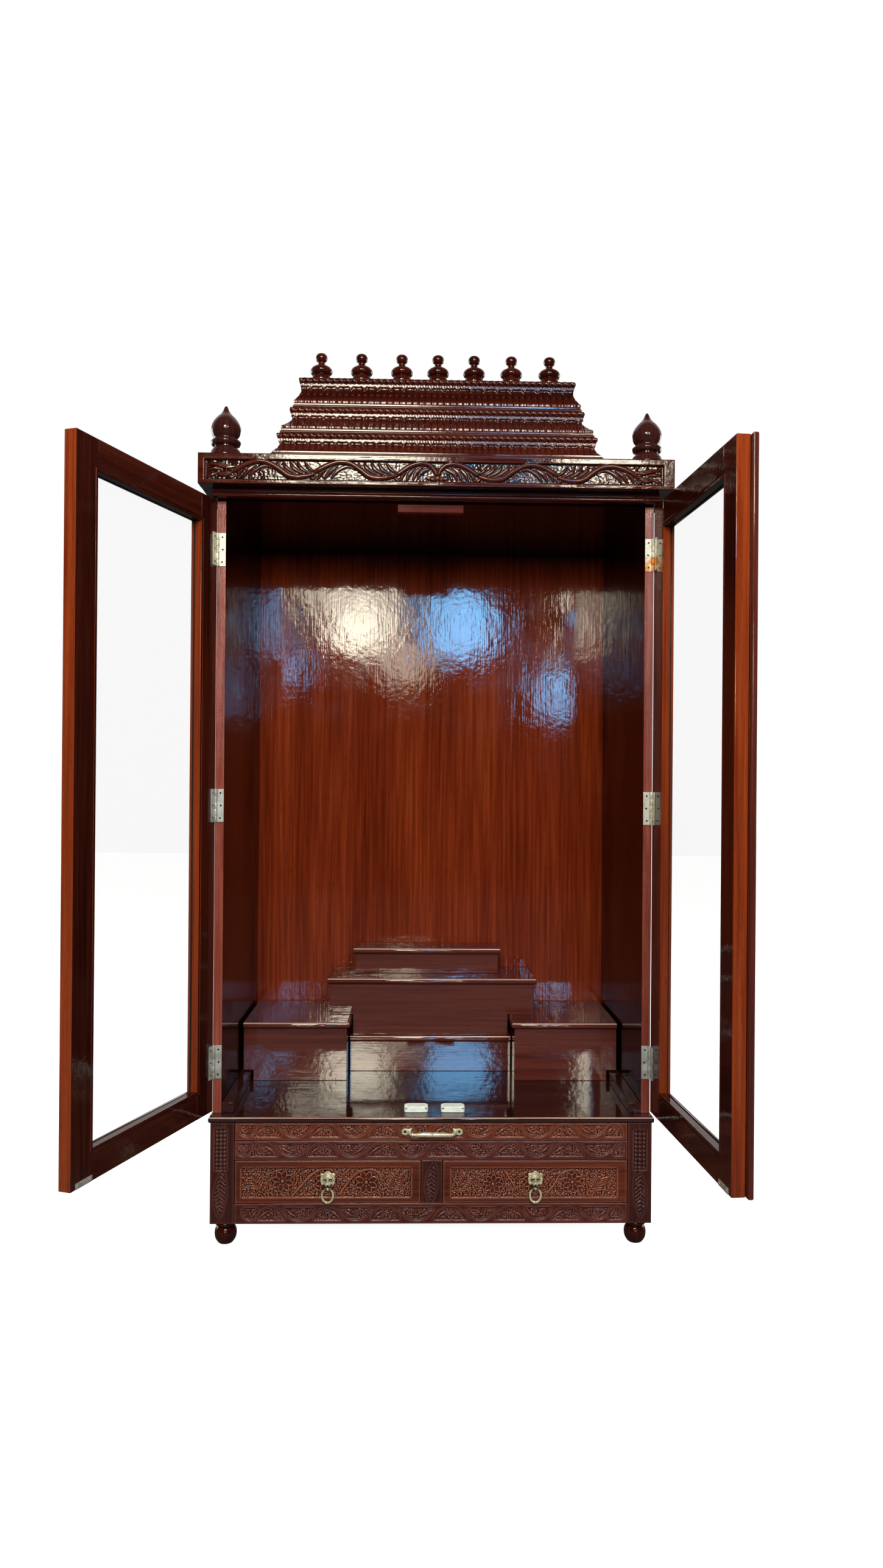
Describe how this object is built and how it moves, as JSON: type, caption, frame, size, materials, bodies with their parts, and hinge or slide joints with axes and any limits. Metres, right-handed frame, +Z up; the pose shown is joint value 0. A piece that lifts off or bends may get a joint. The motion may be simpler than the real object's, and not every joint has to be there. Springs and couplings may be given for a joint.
{
  "type": "home temple",
  "caption": "Wooden home temple: shrine cabinet with glazed doors, stepped altar, carved drawer base with tray, and a tiered gopuram with turned finials over a carved cornice.",
  "frame": {"origin": "middle of the floor area that the temple covers with its doors standing open as modelled, at floor level; the cabinet's own centre plane is at x = 0.0495", "axes": "+Z up, -Y towards the person who opens the doors, +X to that person's right"},
  "size_m": [1.1548, 0.9497, 1.8713],
  "materials": {
    "lacquered_wood": "dark red-brown mahogany stain under a glossy hand-laid lacquer",
    "carved_wood": "carved red-brown hardwood, lacquered, with darker recesses",
    "back_veneer": "orange-red straight-grained veneer under glossy lacquer",
    "glass": "clear float glass",
    "brass": "cast brass, polished on the high spots",
    "hinge_metal": "dull plated steel with brassy stain",
    "catch_plastic": "off-white moulded plastic"
  },
  "bodies": {
    "cabinet": {"foot_front_left": "lacquered_wood", "foot_front_right": "lacquered_wood", "foot_back_left": "lacquered_wood", "foot_back_right": "lacquered_wood", "base_post_left": "carved_wood", "base_post_right": "carved_wood", "base_side_left": "lacquered_wood", "base_side_right": "lacquered_wood", "base_bottom_rail": "carved_wood", "base_middle_rail": "carved_wood", "base_floor": "lacquered_wood", "tray_shelf": "lacquered_wood", "drawer_partition": "carved_wood", "base_slab": "lacquered_wood", "side_panel_left": "lacquered_wood", "side_panel_right": "lacquered_wood", "back_panel": "back_veneer", "top_panel": "lacquered_wood", "door_stop": "lacquered_wood", "floor_strip_left": "lacquered_wood", "floor_strip_right": "lacquered_wood", "magnetic_catch_left": "catch_plastic", "magnetic_catch_right": "catch_plastic", "step_block_left": "lacquered_wood", "step_block_right": "lacquered_wood", "step_low": "lacquered_wood", "step_middle": "lacquered_wood", "step_top": "lacquered_wood", "cornice": "carved_wood", "gopuram_tier_low": "carved_wood", "gopuram_tier_middle": "carved_wood", "gopuram_tier_high": "carved_wood", "gopuram_deck": "lacquered_wood", "corner_finial_left": "lacquered_wood", "corner_finial_right": "lacquered_wood", "left_hinge_low_cabinet_leaf": "hinge_metal", "left_hinge_middle_cabinet_leaf": "hinge_metal", "left_hinge_high_cabinet_leaf": "hinge_metal", "right_hinge_low_cabinet_leaf": "hinge_metal", "right_hinge_middle_cabinet_leaf": "hinge_metal", "right_hinge_high_cabinet_leaf": "hinge_metal"},
    "left_door": {"left_door_frame": "lacquered_wood", "left_door_glass": "glass", "left_hinge_low_door_leaf": "hinge_metal", "left_hinge_middle_door_leaf": "hinge_metal", "left_hinge_high_door_leaf": "hinge_metal"},
    "right_door": {"right_door_frame": "lacquered_wood", "right_door_glass": "glass", "right_hinge_low_door_leaf": "hinge_metal", "right_hinge_middle_door_leaf": "hinge_metal", "right_hinge_high_door_leaf": "hinge_metal", "door_astragal": "lacquered_wood"},
    "tray": {"tray": "carved_wood", "tray_handle": "brass"},
    "left_drawer": {"left_drawer": "carved_wood", "left_lion_plate": "brass"},
    "left_ring": {"left_pull_ring": "brass"},
    "right_drawer": {"right_drawer": "carved_wood", "right_lion_plate": "brass"},
    "right_ring": {"right_pull_ring": "brass"}
  },
  "joints": [
    {"name": "left_door_hinge", "type": "hinge", "parent": "cabinet", "child": "left_door", "pos_m": [-0.4057, -0.009, 0.9085], "axis": [0, 0, -1], "range_deg": [-109.2, 7.8]},
    {"name": "right_door_hinge", "type": "hinge", "parent": "cabinet", "child": "right_door", "pos_m": [0.5047, -0.009, 0.9085], "axis": [0, 0, 1], "range_deg": [-94, 23]},
    {"name": "tray_slide", "type": "slide", "parent": "cabinet", "child": "tray", "axis": [0, -1, 0], "range_m": [0, 0.32]},
    {"name": "left_drawer_slide", "type": "slide", "parent": "cabinet", "child": "left_drawer", "axis": [0, -1, 0], "range_m": [0, 0.34]},
    {"name": "right_drawer_slide", "type": "slide", "parent": "cabinet", "child": "right_drawer", "axis": [0, -1, 0], "range_m": [0, 0.34]},
    {"name": "left_ring_swing", "type": "hinge", "parent": "left_drawer", "child": "left_ring", "pos_m": [-0.165, -0.036, 0.1219], "axis": [-1, 0, 0], "range_deg": [0, 85]},
    {"name": "right_ring_swing", "type": "hinge", "parent": "right_drawer", "child": "right_ring", "pos_m": [0.264, -0.036, 0.1219], "axis": [-1, 0, 0], "range_deg": [0, 85]}
  ]
}
